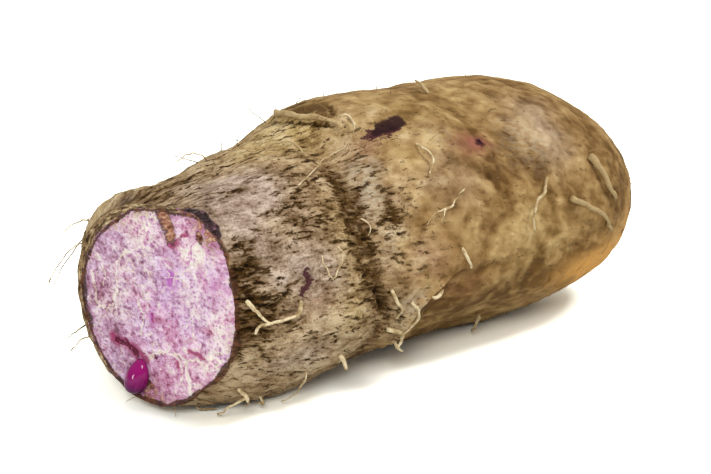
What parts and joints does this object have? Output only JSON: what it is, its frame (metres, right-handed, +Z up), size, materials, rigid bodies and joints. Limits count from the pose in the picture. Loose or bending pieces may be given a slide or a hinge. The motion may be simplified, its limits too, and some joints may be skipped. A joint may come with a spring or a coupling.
{
  "type": "purple yam",
  "caption": "Purple yam tuber lying on its side, one end cut to show pale violet flesh, with dry rootlets and a bead of juice.",
  "frame": {"origin": "bottom centre of the whole yam's box, on the surface that it rests on", "axes": "+Z up, +X from the cut end along the tuber to its grown tip, -Y towards the side that shows best"},
  "size_m": [0.2136, 0.109, 0.0893],
  "materials": {
    "skin": "dry, corky, matt skin, tan to brown, with short dark cracks along the tuber",
    "juice": "clear magenta liquid, wet and glossy",
    "dried_root": "dry, matt, straw-coloured rootlet"
  },
  "bodies": {
    "root": {"tuber": "skin", "juice_bead": "juice", "rootlet_long": "dried_root", "rootlet_over_hollow": "dried_root", "rootlet_arched": "dried_root", "rootlet_by_the_cut": "dried_root", "rootlet_bent": "dried_root", "rootlet_in_the_ring": "dried_root", "rootlet_upper": "dried_root", "rootlet_forked": "dried_root", "rootlet_outer": "dried_root", "rootlet_on_the_ridge": "dried_root", "rootlet_tip_thick": "dried_root", "rootlet_tip_low": "dried_root", "rootlet_lobe_upper": "dried_root", "rootlet_lobe_edge": "dried_root", "rootlet_lobe_hook": "dried_root", "rootlet_ledge": "dried_root", "rootlet_side": "dried_root", "rootlet_under_outer": "dried_root", "rootlet_under_lobe": "dried_root", "rootlet_foot_peg": "dried_root", "rootlet_hanging": "dried_root", "rootlet_foot_stub": "dried_root", "rootlet_foot_forked": "dried_root", "rootlet_low": "dried_root", "rootlet_far_foot": "dried_root", "rootlet_far_top": "dried_root", "rootlet_far_side": "dried_root", "rootlet_top": "dried_root", "rootlet_back_high": "dried_root", "rootlet_back_forked": "dried_root", "rootlet_back_low": "dried_root", "rootlet_back_outer": "dried_root", "rootlet_back_small": "dried_root", "rootlet_back_tip": "dried_root", "rootlet_back_mid": "dried_root"}
  },
  "joints": []
}
